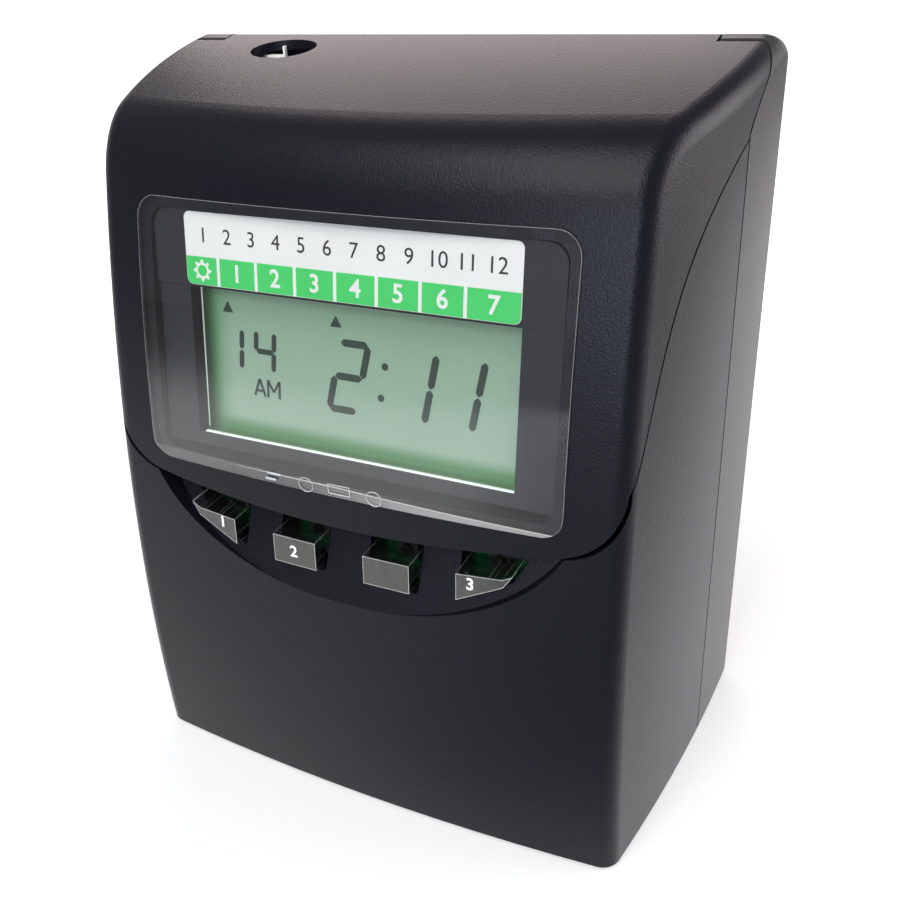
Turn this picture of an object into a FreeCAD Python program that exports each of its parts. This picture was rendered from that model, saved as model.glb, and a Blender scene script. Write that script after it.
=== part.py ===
import FreeCAD, Part
import math
import os

from FreeCAD import Vector as V

# Electronic time clock that stamps the date and time on a card.
# Millimetres. X runs to the right, Y to the back, Z up, seen from the front.
# The origin is on the desk, under the middle of the casing.

# Driving dimensions of the casing
case_height = 201.2
half_depth = 47.0
foot_height = 1.5
wall = 2.5
parting_gap = 0.6
hood_corner_gap = 1.2

# Side walls: half widths at the front corners, at the rear seam and at the back
front_half_low = 75.8
front_half_high = 72.8
seam_half = 84.4
back_half = 86.3
seam_y = 17.0

# Front, crowned from side to side and leaning back as it rises
crown_radius = 800.0
face_radius = 642.0
face_upright_z = 10.0

# Top, a shallow arch up to a ridge in front of the card slot, falling behind it
ridge_y = 40.5
ridge_lip_z = 193.5
top_radius = 500.0
ridge_slope = 0.149
ridge_fall = 0.16
brow_radius = 22.0
corner_radius = 5.5

# Lower edge of the hood in the front view, and its parting line in the side view
hood_edge_z = 94.0
hood_edge_side = (60.0, 98.3)
hood_corner_mid = (69.2, 103.7)
hood_corner_top = (73.8, 115.0)
hood_side_line = [
    (18.5, 184.0), (5.0, 175.5), (-5.0, 166.5), (-13.5, 155.5),
    (-21.5, 140.5), (-28.5, 124.5), (-33.5, 115.0),
]
rear_seam_top_z = 183.5
rear_seam_mid = (26.0, 193.8)
rear_seam_end_z = 202.0
rear_corner_half = 72.0

# Window in the hood
window_half = 60.0
window_low = 102.6
window_high = 172.2
window_corner = 6.0
window_seat = 3.0
lens_proud = 0.9
lens_sunk = 0.9
lens_bevel_low = 3.8

# Display stack, on a plane that leans back behind the window
display_lean = 10.8
display_y = -25.7
display_z = 158.0
bezel_half = 56.5
bezel_low = -52.0
bezel_high = 11.0
bezel_step = 0.6
bezel_depth = 11.0
bezel_corner = 5.0
opening_half = 46.4
opening_low = -48.4
opening_high = -8.6
glass_depth = 5.0
glass_thickness = 1.8

# Lock and its access hole
lock_x = -46.0
lock_y = 28.0
access_half_x = 10.0
access_half_y = 7.4
barrel_radius = 7.75
plug_radius = 5.5
cam_reach = 13.6
cam_low = 165.1
cam_high = 167.6

# Smile-shaped recess with four keys
recess_half = 63.6
recess_height = 39.2
recess_bottom = 71.0
recess_wall = 2.2
panel_lean = 25.0
panel_foot_y = -44.3
panel_thickness = 2.4
panel_top = 104.5
hood_clearance = 3.1
key_centre = 13.9
key_half = 6.65
key_low = 80.0
key_high = 88.0
wing_outline = [(33.4, 81.5), (45.8, 87.6), (48.3, 91.2), (45.6, 89.8), (33.4, 89.0)]
key_proud = 0.5
key_wall = 1.1
key_back_y = -32.0
switch_front_y = -30.6
button_board_y = -27.4
board_thickness = 1.6
wing_switch = (40.5, 87.3)
key_switch_z = 84.1

# Card path between two guide sheets
sheet = 1.2
guide_half = 68.4
guide_low = 14.0
guide_front_y = 39.6
guide_top = 186.0
chute_front_y = guide_front_y + sheet
wall_y = half_depth - wall
chute_back_y = wall_y - sheet
card_half = 44.2
card_stop_z = 21.0

# Mechanism between the side frames
frame_x = 66.0
frame_front_y = -14.0
frame_low = 8.0
frame_high = 160.0
print_z = 127.0
rod_y = 26.0
rod_z = 113.0
rod_radius = 3.0
steady_y = 16.5
steady_z = 112.0
steady_radius = 2.0
carriage_half = 18.0
plate_y = 4.5
pulley_z = 110.0
drive_x = -48.0
idler_x = 50.0
pulley_radius = 6.0
belt_thickness = 1.0
shaft_clearance = 0.05

# Card feed
feed_y = 33.8
feed_z = 80.0
feed_shaft_radius = 2.5
roller_radius = 8.0
gear_x = 69.2
gear_width = 4.0
gear_module = 0.8
gear_teeth = 22
pinion_teeth = 14
gear_addendum = 0.85
gear_backlash = 0.14
pressure_angle = math.radians(20.0)
feed_motor_z = 76.0
feed_motor_radius = 10.0

# Rear wall: power inlet and wall-hanging keyholes
inlet_x = 76.5
inlet_z = 25.5
keyhole_x = 76.0
keyhole_z = 150.0

floor_z = foot_height + wall


def save(node, shape):
    """Write one sub-part, checked as a closed solid or a group of them."""
    shape = shape.removeSplitter()
    shape.exportStep("parts/" + node + ".step")
    print(f"{node:24s} solids {len(shape.Solids)} valid {shape.isValid()} volume {shape.Volume:.0f}")


def block(x0, x1, y0, y1, z0, z1):
    return Part.makeBox(x1 - x0, y1 - y0, z1 - z0, V(x0, y0, z0))


def bar_x(x0, x1, y, z, radius):
    return Part.makeCylinder(radius, x1 - x0, V(x0, y, z), V(1, 0, 0))


def bar_y(x, y0, y1, z, radius):
    return Part.makeCylinder(radius, y1 - y0, V(x, y0, z), V(0, 1, 0))


def bar_z(x, y, z0, z1, radius):
    return Part.makeCylinder(radius, z1 - z0, V(x, y, z0), V(0, 0, 1))


def line(a, b):
    return Part.makeLine(V(*a), V(*b))


def arc(a, b, c):
    return Part.Arc(V(*a), V(*b), V(*c)).toShape()


def joined(shapes):
    return shapes[0].multiFuse(shapes[1:])


def group(shapes):
    return Part.makeCompound(shapes)


def face_of(runs, place):
    """Closed outline: a run of two points is a line, three an arc, more a smooth curve."""
    edges = []
    for run in runs:
        points = [place(*point) for point in run]
        if len(points) == 2:
            edges.append(Part.makeLine(*points))
        elif len(points) == 3:
            edges.append(Part.Arc(*points).toShape())
        else:
            curve = Part.BSplineCurve()
            curve.interpolate(points)
            edges.append(curve.toShape())
    return Part.Face(Part.Wire(edges))


def side_outline(runs, x0, x1):
    """Outline in the side view (y, z), extruded along X."""
    return face_of(runs, lambda y, z: V(x0, y, z)).extrude(V(x1 - x0, 0, 0))


def front_outline(runs, y0, y1):
    """Outline in the front view (x, z), extruded along Y."""
    return face_of(runs, lambda x, z: V(x, y0, z)).extrude(V(0, y1 - y0, 0))


def loop(points):
    return [[a, b] for a, b in zip(points, points[1:] + points[:1])]


def side_prism(points, x0, x1):
    return side_outline(loop(points), x0, x1)


def front_prism(points, y0, y1):
    return front_outline(loop(points), y0, y1)


def rounded_front(x0, x1, z0, z1, radius, y0, y1):
    """A rectangle with round corners in the front view, extruded along Y."""
    shape = block(x0, x1, y0, y1, z0, z1)
    edges = [e for e in shape.Edges if e.BoundBox.YLength > 0.5 * (y1 - y0)]
    return shape.makeFillet(radius, edges)


def mirrored(shape):
    return shape.mirror(V(0, 0, 0), V(1, 0, 0))


def both(shape):
    return shape.fuse(mirrored(shape))



# ---------------------------------------------------------------- casing form


def face_y(z, inset=0.0):
    """Front surface on the middle plane, at height z."""
    centre_y = face_radius - half_depth
    return centre_y - math.sqrt((face_radius - inset) ** 2 - (z - face_upright_z) ** 2)


slope_length = math.hypot(1.0, ridge_slope)
arch_y = ridge_y + top_radius * ridge_slope / slope_length
arch_z = case_height - top_radius / slope_length


def top_z(y, inset=0.0):
    """Top surface on the middle plane, at depth y."""
    return arch_z + math.sqrt((top_radius - inset) ** 2 - (y - arch_y) ** 2)


def fall_z(y, inset=0.0):
    """Surface behind the ridge at depth y."""
    return case_height - ridge_fall * (y - ridge_y) - inset * math.hypot(1.0, ridge_fall)


def ridge_crest(inset):
    """Crest where the arch meets the falling surface, in the side view."""
    y = ridge_y
    for _ in range(5):
        y -= (top_z(y, inset) - fall_z(y, inset)) / (ridge_slope + ridge_fall)
    return y, top_z(y, inset)


def side_circle(z):
    """Plan arc of the side wall at height z: centre x, centre y and radius."""
    share = z / case_height
    front_half = front_half_low + share * (front_half_high - front_half_low)
    front_y = face_y(z) + front_half_low ** 2 / (2.0 * crown_radius)
    x1, y1 = front_half, front_y
    x2, y2 = seam_half, seam_y
    x3, y3 = back_half, half_depth
    d = 2.0 * (x1 * (y2 - y3) + x2 * (y3 - y1) + x3 * (y1 - y2))
    s1, s2, s3 = x1 * x1 + y1 * y1, x2 * x2 + y2 * y2, x3 * x3 + y3 * y3
    cx = (s1 * (y2 - y3) + s2 * (y3 - y1) + s3 * (y1 - y2)) / d
    cy = (s1 * (x3 - x2) + s2 * (x1 - x3) + s3 * (x2 - x1)) / d
    return cx, cy, math.hypot(x1 - cx, y1 - cy)


def side_x(y, z, inset=0.0):
    """Half width of the casing at depth y and height z."""
    cx, cy, radius = side_circle(z)
    return cx + math.sqrt((radius - inset) ** 2 - (y - cy) ** 2)


def crowned(face):
    """Sweep a profile of the middle plane round the far axis of the front's crown."""
    axis_point = V(0, crown_radius - half_depth, 0)
    half_sweep = 8.5
    face.rotate(axis_point, V(0, 0, 1), -half_sweep)
    return face.revolve(axis_point, V(0, 0, 1), 2.0 * half_sweep)


def front_body(inset):
    """Everything behind the crowned front surface moved inwards by inset."""
    z0, z1, z2 = 40.0, 110.0, 186.0
    far_y = 60.0
    runs = [
        [(face_y(z0, inset), z0), (face_y(z1, inset), z1), (face_y(z2, inset), z2)],
        [(face_y(z2, inset), z2), (far_y, z2)],
        [(far_y, z2), (far_y, z0)],
        [(far_y, z0), (face_y(z0, inset), z0)],
    ]
    return crowned(face_of(runs, lambda y, z: V(0, y, z)))


def plan_body(inset):
    """Tapered body between the side walls, lofted through plan sections."""
    sections = []
    back_y = half_depth + 2.0
    for z in (-5.0, 45.0, 90.0, 130.0, 165.0, 205.0):
        front = face_y(z) - 8.0
        middle = 0.5 * (front + back_y)
        right = [(side_x(y, z, inset), y, z) for y in (front, middle, back_y)]
        left = [(-x, y, z) for x, y, z in reversed(right)]
        edges = [arc(*right), line(right[2], left[0]), arc(*left), line(left[2], right[0])]
        sections.append(Part.Wire(edges))
    return Part.makeLoft(sections, True, False)


def casing_form(inset):
    """Whole outer form of the casing, moved inwards by inset."""
    low, high = foot_height + inset, case_height + 15.0
    far_y, front_y = half_depth + 15.0, -70.0
    mid_z = 0.5 * (low + high)
    front = crowned(face_of([
        [(face_y(low, inset), low), (face_y(mid_z, inset), mid_z), (face_y(high, inset), high)],
        [(face_y(high, inset), high), (far_y, high)],
        [(far_y, high), (far_y, low)],
        [(far_y, low), (face_y(low, inset), low)],
    ], lambda y, z: V(0, y, z)))
    crest = ridge_crest(inset)
    under_top = side_outline([
        [(front_y, top_z(front_y, inset)), (0.0, top_z(0.0, inset)), crest],
        [crest, (far_y, fall_z(far_y, inset))],
        [(far_y, fall_z(far_y, inset)), (far_y, 0.0)],
        [(far_y, 0.0), (front_y, 0.0)],
        [(front_y, 0.0), (front_y, top_z(front_y, inset))],
    ], -110.0, 110.0)
    body = front.common(under_top)
    brow = [e for e in body.Edges if e.BoundBox.XLength > 100.0 and e.BoundBox.ZMin > 150.0
            and e.BoundBox.YMax < 0.0]
    body = body.makeFillet(brow_radius - inset, brow)
    back_cut = block(-100.0, 100.0, -80.0, half_depth - inset, 0.0, 230.0)
    form = body.common(plan_body(inset)).common(back_cut)
    verticals, brows, tops = [], [], []
    for edge in form.Edges:
        box = edge.BoundBox
        centre = edge.CenterOfMass
        if abs(centre.x) < 50.0 or box.YMin > half_depth - inset - 0.1 or box.ZMax < low + 0.1:
            continue
        if box.ZLength > 100.0:
            verticals.append(edge)
        elif box.YLength > 25.0:
            tops.append(edge)
        else:
            brows.append(edge)
    return form.makeFillet(corner_radius - inset, verticals + brows + tops)



os.makedirs("parts", exist_ok=True)
outer = casing_form(0.0)
inner = casing_form(wall)
shell = outer.cut(inner)


# ---------------------------------------------------------------- parting of the casing


def hood_region(grow):
    """Space of the hood: above its side line, and above its lower edge in front."""
    dy, dz = 0.82 * grow, -0.57 * grow
    side = [(y + dy, z + dz) for y, z in hood_side_line]
    (y0, z0), (y1, z1) = side[0], side[-1]
    far_y, front, top = 60.0, -80.0, 230.0
    above_line = side_outline([
        [(far_y, z0), (y0, z0)],
        side,
        [(y1, z1), (front, z1)],
        [(front, z1), (front, top)],
        [(front, top), (far_y, top)],
        [(far_y, top), (far_y, z0)],
    ], -100.0, 100.0)
    xs, zs = hood_edge_side[0], hood_edge_side[1] - grow
    corner_shift = 0.7 * hood_corner_gap * grow / parting_gap
    xm, zm = hood_corner_mid[0] + corner_shift, hood_corner_mid[1] - corner_shift
    xt, zt = hood_corner_top[0] + grow, hood_corner_top[1]
    above_edge = front_outline([
        [(-xs, zs), (0.0, hood_edge_z - grow), (xs, zs)],
        [(xs, zs), (xm, zm), (xt, zt)],
        [(xt, zt), (xt, zt + 5.0)],
        [(xt, zt + 5.0), (-xt, zt + 5.0)],
        [(-xt, zt + 5.0), (-xt, zt)],
        [(-xt, zt), (-xm, zm), (-xs, zs)],
    ], front, grow - 30.0)
    return above_line.fuse(above_edge)


def rear_region(grow):
    """Space of the rear shell: behind the side seam and under its curved end."""
    y0, z0 = seam_y - grow, rear_seam_top_z + grow
    far_y, low, top = 70.0, -10.0, 230.0
    mid_y, mid_z = rear_seam_mid[0] - 0.7 * grow, rear_seam_mid[1] + 0.7 * grow
    end_y, end_z = ridge_y - grow, rear_seam_end_z + grow
    return side_outline([
        [(y0, low), (y0, z0)],
        [(y0, z0), (mid_y, mid_z), (end_y, end_z)],
        [(end_y, end_z), (end_y, top)],
        [(end_y, top), (far_y, top)],
        [(far_y, top), (far_y, low)],
        [(far_y, low), (y0, low)],
    ], -100.0, 100.0)


hood_space = hood_region(0.0)
hood_space_wide = hood_region(parting_gap)
rear_space = rear_region(0.0)
rear_space_wide = rear_region(parting_gap)

# ---------------------------------------------------------------- rear shell

# Back wall, rear half of the sides, and the strip behind the card slot
rear = shell.common(rear_space)
rear = rear.cut(block(-rear_corner_half, rear_corner_half, 10.0, wall_y, 184.0, 210.0))
# Lip inside the seam, which the lower cover slides over
lip_root = casing_form(wall - 0.1)
lip_face = casing_form(wall + 0.3)
lip_inner = casing_form(wall + 1.5)
lip = lip_root.cut(lip_inner).common(block(-100, 100, seam_y + 0.3, seam_y + 5.0, 0, 172))
tongue = lip_face.cut(lip_inner).common(block(-100, 100, seam_y - 4.5, seam_y + 0.4, 0, 172))
rear = joined([rear, lip, tongue])
# Posts under the side frames, ledge of the inlet
rear = joined([
    rear,
    bar_z(-61.0, 32.0, floor_z - 0.5, frame_low, 4.0),
    bar_z(61.0, 32.0, floor_z - 0.5, frame_low, 4.0),
    block(inlet_x - 5.5, inlet_x + 5.5, 31.0, wall_y + 0.5, inlet_z - 7.0, inlet_z - 5.0),
    block(inlet_x - 1.0, inlet_x + 1.0, 31.0, wall_y + 0.5, floor_z - 0.5, inlet_z - 6.0),
])
rear = rear.cut(bar_y(inlet_x, wall_y - 1.0, half_depth + 1.0, inlet_z, 4.6))
# Keyholes for two wall screws
for side in (-1.0, 1.0):
    head = bar_y(side * keyhole_x, 40.0, 50.0, keyhole_z, 4.5)
    slot = block(side * keyhole_x - 2.5, side * keyhole_x + 2.5, 40.0, 50.0, keyhole_z, keyhole_z + 8.0)
    slot_end = bar_y(side * keyhole_x, 40.0, 50.0, keyhole_z + 8.0, 2.5)
    rear = rear.cut(joined([head, slot, slot_end]))
save("rear_shell", rear)

# ---------------------------------------------------------------- lower cover


def panel_y(z):
    """Front of the leaning key panel."""
    return panel_foot_y + math.tan(math.radians(panel_lean)) * (z - recess_bottom)


def recess_ellipse(grow):
    centre = V(0, -70, recess_bottom + recess_height)
    side_point = centre + V(recess_half + grow, 0, 0)
    top_point = centre + V(0, 0, recess_height + grow)
    curve = Part.Ellipse(side_point, top_point, centre)
    return Part.Face(Part.Wire([curve.toShape()])).extrude(V(0, 80, 0))


panel_slant = panel_thickness / math.cos(math.radians(panel_lean))
low_z = 60.0
cup = recess_ellipse(recess_wall).common(side_prism([
    (-70.0, low_z), (panel_y(low_z) + panel_slant, low_z),
    (panel_y(panel_top) + panel_slant, panel_top), (-70.0, panel_top),
], -80, 80)).common(outer)
cup = cup.cut(hood_space_wide).fuse(cup.common(front_body(hood_clearance)))
shelf_z = panel_top - 2.0
hollow = recess_ellipse(0.0).common(side_prism([
    (-70.0, low_z), (panel_y(low_z), low_z), (panel_y(shelf_z), shelf_z), (-70.0, shelf_z),
], -80, 80))
cover = shell.cut(hood_space_wide).cut(rear_space_wide).fuse(cup).cut(hollow)
# Openings for the keys, wider than the keys all round
for side in (-1.0, 1.0):
    x = side * key_centre
    cover = cover.cut(rounded_front(x - 7.75, x + 7.75, 78.3, 92.0, 1.2, -60, -20))
wing_opening = front_prism([(32.2, 79.6), (46.6, 86.3), (50.0, 92.0), (32.2, 92.0)], -60, -20)
cover = cover.cut(wing_opening).cut(mirrored(wing_opening))
# Posts that carry the button board and the front of the side frames
for side in (-1.0, 1.0):
    cover = joined([
        cover,
        bar_y(side * 28.0, -40.0, button_board_y, 77.0, 2.0),
        bar_y(side * 50.0, -32.0, button_board_y, 95.0, 2.0),
        bar_z(side * 61.0, -6.0, floor_z - 0.5, frame_low, 4.0),
    ])
save("lower_cover", cover)

# ---------------------------------------------------------------- hood and window

hood = shell.common(hood_space)
corner_zone = rear_space_wide.cut(
    block(-rear_corner_half + parting_gap, rear_corner_half - parting_gap, 0.0, ridge_y - 0.2, 184.0, 230.0))
hood = hood.cut(corner_zone)
# Ridge lip in front of the card slot, and two ribs that rest on the guide sheet
ridge = block(-70.0, 70.0, ridge_y - 2.7, ridge_y - 0.2, ridge_lip_z, 205.0)
ribs = both(block(57.0, 60.5, ridge_y - 3.5, ridge_y - 0.3, guide_top, 205.0))
# Catch: a tongue with a hook that the lock cam turns over
catch_x = lock_x - 16.5
catch = block(catch_x, catch_x + 2.0, lock_y - 5.5, lock_y + 5.5, cam_low - 4.0, 205.0)
hook = block(catch_x, catch_x + 5.0, lock_y - 5.5, lock_y + 5.5, cam_low - 4.0, cam_low - 0.4)
hood = hood.fuse(joined([ridge, ribs, catch, hook]).common(outer))
access_rim = Part.Ellipse(V(lock_x, lock_y, 190.0), access_half_x, access_half_y).toShape()
hood = hood.cut(Part.Face(Part.Wire([access_rim])).extrude(V(0, 0, 20.0)))

seat = rounded_front(-window_half, window_half, window_low, window_high, window_corner, -80, 0)
opening = rounded_front(
    -window_half + window_seat, window_half - window_seat,
    window_low + window_seat, window_high - window_seat, window_corner - 1.5, -80, 0)
behind_seat = front_body(lens_sunk)
hood = hood.cut(seat.cut(behind_seat)).cut(opening)
save("hood", hood)

# Clear window: curved like the front, proud of it, with a wide bevel along the bottom
lens = seat.common(front_body(-lens_proud)).cut(behind_seat)
bevel_z = window_low + lens_bevel_low
bevel = crowned(face_of(loop([
    (face_y(bevel_z, -lens_proud), bevel_z),
    (face_y(window_low, 0.1), window_low),
    (face_y(window_low - 2.0, 0.1), window_low - 2.0),
    (face_y(window_low, -4.0), window_low - 2.0),
    (face_y(bevel_z, -4.0), bevel_z),
]), lambda y, z: V(0, y, z)))
lens = lens.cut(bevel)
save("display_window", lens)

# ---------------------------------------------------------------- display stack


def on_display(shape):
    """Place a piece drawn as (x, depth, height) on the leaning display plane."""
    shape.rotate(V(0, 0, 0), V(1, 0, 0), -display_lean)
    shape.translate(V(0, display_y, display_z))
    return shape


bezel = block(-bezel_half, bezel_half, 0.0, bezel_depth, bezel_low, bezel_high)
bezel = bezel.makeFillet(bezel_corner, [
    e for e in bezel.Edges if e.BoundBox.YLength > 5.0 and e.BoundBox.ZMin > 5.0])
bezel = bezel.cut(block(-bezel_half - 1, bezel_half + 1, -1.0, bezel_step, bezel_low - 1, -8.2))
bezel = bezel.cut(block(-54.5, 54.5, 2.6, bezel_depth + 1.0, -50.0, 9.0))
skirt = block(-opening_half - 1.6, opening_half + 1.6, 2.0, glass_depth, opening_low - 1.6, -7.0)
bezel = bezel.fuse(skirt)
bezel = bezel.cut(block(-opening_half, opening_half, -1.0, glass_depth + 1.0, opening_low, opening_high))
save("display_bezel", on_display(bezel))

legend = block(-opening_half, opening_half, -0.3, 0.0, -7.8, 10.6)
save("legend_strip", on_display(legend))

glass_back = glass_depth + glass_thickness
save("lcd_panel", on_display(block(-50.0, 50.0, glass_depth, glass_back, -49.8, -5.5)))
save("lcd_backlight", on_display(block(-50.0, 50.0, glass_back, bezel_depth, -49.8, -5.5)))

bracket_plate = on_display(block(-frame_x, frame_x, bezel_depth, bezel_depth + sheet, -48.0, 9.0))
bracket_ear = side_prism([(-22.2, 116.4), (-13.8, 160.4), (-4.0, 150.0), (-4.0, 122.0)],
                         frame_x - sheet, frame_x)
save("display_bracket", joined([bracket_plate, bracket_ear, mirrored(bracket_ear)]))

# ---------------------------------------------------------------- keys and their switches


def key_cap(outline, tabs, post_x, post_z):
    """Hollow cap with a thin wall, a centre post and retaining tabs behind the panel."""
    full = front_prism(outline, -60.0, key_back_y).common(front_body(-key_proud))
    rim = Part.Wire([Part.makeLine(V(a[0], -60, a[1]), V(b[0], -60, b[1])) for a, b in loop(outline)])
    inside = Part.Face(rim.makeOffset2D(-key_wall)).extrude(V(0, 60.0, 0))
    cavity = inside.common(front_body(key_wall - key_proud))
    cap = full.cut(cavity)
    post = bar_y(post_x, -43.0, switch_front_y - 1.25, post_z, 1.4).common(front_body(0.0))
    return joined([cap, post] + tabs)


def key_tab(x0, x1, z0, z1, y):
    return block(x0, x1, y, y + 1.2, z0, z1)


square = [(key_centre - key_half, key_low), (key_centre + key_half, key_low),
          (key_centre + key_half, key_high), (key_centre - key_half, key_high)]
left_x, right_x = key_centre - key_half, key_centre + key_half
square_tabs = [key_tab(left_x - 2.0, left_x + 0.6, key_low, 82.4, -35.8),
               key_tab(right_x - 0.6, right_x + 2.0, key_low, 82.4, -35.8)]
blank_key = key_cap(square, square_tabs, key_centre, key_switch_z)
wing_tabs = [key_tab(31.2, 34.2, 82.0, 84.4, -34.9)]
wing_key = key_cap(wing_outline, wing_tabs, *wing_switch)
save("key_blank", blank_key)
save("key_out", mirrored(blank_key))
save("key_enter", wing_key)
save("key_in", mirrored(wing_key))

# Switch bodies with a well for the plunger, plungers that ride with the keys
switch_places = {
    "in": (-wing_switch[0], wing_switch[1]),
    "out": (-key_centre, key_switch_z),
    "blank": (key_centre, key_switch_z),
    "enter": wing_switch,
}
bodies = []
for name, (x, z) in switch_places.items():
    body = block(x - 3.0, x + 3.0, switch_front_y, button_board_y, z - 3.0, z + 3.0)
    bodies.append(body.cut(bar_y(x, switch_front_y - 1, button_board_y - 0.4, z, 1.6)))
    save("plunger_" + name, bar_y(x, switch_front_y - 1.25, switch_front_y + 1.2, z, 1.5))
save("key_switches", group(bodies))
save("button_board", block(-53.0, 53.0, button_board_y, button_board_y + board_thickness, 74.0, 97.5))

# ---------------------------------------------------------------- card path

guide_front = block(-guide_half, guide_half, guide_front_y, chute_front_y, guide_low, guide_top)
guide_front = guide_front.cut(rounded_front(-50, 50, 120.5, 133.5, 2.0, 30, 42))
for side in (-1.0, 1.0):
    x = side * 24.0
    guide_front = guide_front.cut(rounded_front(x - 10.6, x + 10.6, 71.5, 88.5, 2.0, 30, 42))
save("card_guide_front", guide_front)

guide_rear = block(-guide_half, guide_half, chute_back_y, wall_y, guide_low, guide_top)
rail = block(card_half, card_half + 3.0, chute_front_y, chute_back_y, guide_low, guide_top)
guide_rear = joined([guide_rear, rail, mirrored(rail)])
guide_rear = guide_rear.cut(block(-42.0, 42.0, chute_back_y - 0.1, wall_y + 1, 121.8, 132.2))
save("card_guide_rear", guide_rear)
save("platen", block(-42.0, 42.0, chute_back_y, wall_y, 121.8, 132.2))
save("card_stop", block(-card_half, card_half, chute_front_y, chute_back_y, card_stop_z - 3.0, card_stop_z))
save("card_pressure_spring", group([
    block(x - 9.0, x + 9.0, chute_back_y - 0.3, chute_back_y, 66.0, 94.0) for x in (-24.0, 24.0)
]))

# ---------------------------------------------------------------- side frames


def side_frame():
    """Bent sheet: a side plate with flanges at the front, at the back and below."""
    plate = block(frame_x, frame_x + sheet, frame_front_y, guide_front_y, frame_low, frame_high)
    front = block(56.0, frame_x + sheet, frame_front_y, frame_front_y + sheet, frame_low, 68.0)
    back = block(56.0, frame_x + sheet, guide_front_y - sheet, guide_front_y, frame_low, frame_high)
    foot = block(54.0, frame_x + sheet, -12.0, 38.6, frame_low, frame_low + sheet)
    frame = joined([plate, front, back, foot])
    holes = [bar_x(60, 70, rod_y, rod_z, rod_radius), bar_x(60, 70, steady_y, steady_z, steady_radius),
             bar_x(60, 70, feed_y, feed_z, 5.0)]
    return frame.cut(joined(holes))


right_frame = side_frame()
save("side_frame_left", mirrored(right_frame))
feed_motor_y = feed_y - math.sqrt(
    (gear_module * (gear_teeth + pinion_teeth) / 2.0) ** 2 - (feed_z - feed_motor_z) ** 2)
save("side_frame_right", right_frame.cut(bar_x(60, 70, feed_motor_y, feed_motor_z, 3.4)))

# ---------------------------------------------------------------- circuit board

main_board = block(-64.0, 64.0, frame_front_y - board_thickness, frame_front_y, 14.0, 66.0)
save("main_board", main_board)
board_front = frame_front_y - board_thickness
save("board_chips", group([
    block(-12.0, 4.0, board_front - 2.0, board_front, 34.0, 50.0),
    block(14.0, 24.0, board_front - 2.0, board_front, 40.0, 47.0),
    block(-6.0, 8.0, board_front - 3.5, board_front, 20.0, 26.0),
    bar_y(34.0, board_front - 14.0, board_front, 54.0, 4.0),
    bar_y(46.0, board_front - 14.0, board_front, 54.0, 4.0),
]))
save("backup_battery", block(-58.0, -28.0, board_front - 11.0, board_front, 26.0, 44.0))
save("buzzer", bar_y(46.0, board_front - 8.0, board_front, 28.0, 6.0))

# ---------------------------------------------------------------- print carriage and its drive

save("main_rod", bar_x(-frame_x - sheet, frame_x + sheet, rod_y, rod_z, rod_radius))
save("steady_rod", bar_x(-frame_x - sheet, frame_x + sheet, steady_y, steady_z, steady_radius))

carriage = block(-carriage_half, carriage_half, 13.0, 34.0, 106.0, 118.0)
belt_top = pulley_z + pulley_radius
clamp = block(-6.0, 6.0, 6.6, 13.0, belt_top - 3.0, belt_top + belt_thickness + 2.2)
clamp = clamp.cut(block(-7.0, 7.0, 6.0, 12.0, belt_top - 0.3, belt_top + belt_thickness + 0.3))
carriage = carriage.fuse(clamp)
carriage = carriage.cut(bar_x(-30, 30, rod_y, rod_z, 5.0))
carriage = carriage.cut(bar_x(-30, 30, steady_y, steady_z, steady_radius + 0.1))
save("print_carriage", carriage)
bush = bar_x(carriage_half - 8.0, carriage_half, rod_y, rod_z, 5.0)
bush = bush.cut(bar_x(0, 30, rod_y, rod_z, rod_radius + shaft_clearance))
save("carriage_bushes", group([bush, mirrored(bush)]))

head = block(-7.0, 7.0, 22.0, 39.2, 118.0, 133.0)
nose = block(-4.5, 4.5, 39.2, 41.2, print_z - 4.5, print_z + 4.5)
save("print_head", head.fuse(nose))

# Plate behind the motor, with ears on the side frames
drive_plate = block(-frame_x, frame_x, plate_y, plate_y + sheet, 96.0, 126.0)
ear = block(frame_x - sheet, frame_x, plate_y, 13.0, 96.0, 126.0)
drive_plate = joined([drive_plate, ear, mirrored(ear)])
drive_plate = drive_plate.cut(bar_y(drive_x, 0, 10, pulley_z, 3.4))
save("drive_plate", drive_plate)
motor = bar_y(drive_x, -16.0, plate_y, pulley_z, 12.0)
save("carriage_motor", motor.cut(bar_y(drive_x, -11.0, plate_y + 1, pulley_z, 1.55)))


def pulley(x, bore):
    wheel = joined([
        bar_y(x, 6.2, 12.2, pulley_z, pulley_radius),
        bar_y(x, 6.2, 6.9, pulley_z, pulley_radius + 2.0),
        bar_y(x, 11.5, 12.2, pulley_z, pulley_radius + 2.0),
    ])
    return wheel.cut(bar_y(x, 0, 20, pulley_z, bore)) if bore else wheel


save("drive_pulley", pulley(drive_x, 0.0).fuse(bar_y(drive_x, -10.0, 7.0, pulley_z, 1.5)))
save("idler_pin", joined([
    bar_y(idler_x, plate_y + sheet, 12.4, pulley_z, 2.0),
    bar_y(idler_x, plate_y + sheet, plate_y + sheet + 0.4, pulley_z, 4.0),
]))
save("idler_pulley", pulley(idler_x, 2.0 + shaft_clearance))


def obround(radius, y0, y1):
    return joined([
        bar_y(drive_x, y0, y1, pulley_z, radius),
        bar_y(idler_x, y0, y1, pulley_z, radius),
        block(drive_x, idler_x, y0, y1, pulley_z - radius, pulley_z + radius),
    ])


belt = obround(pulley_radius + belt_thickness, 7.2, 11.2)
save("drive_belt", belt.cut(obround(pulley_radius, 7.0, 11.4)))

# ---------------------------------------------------------------- ribbon

tray = block(-frame_x, frame_x, 10.0, 32.0, 134.8, 136.0)
tray_ear = block(frame_x - sheet, frame_x, 10.0, 32.0, 134.8, 146.0)
save("cassette_tray", joined([tray, tray_ear, mirrored(tray_ear)]))

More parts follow.
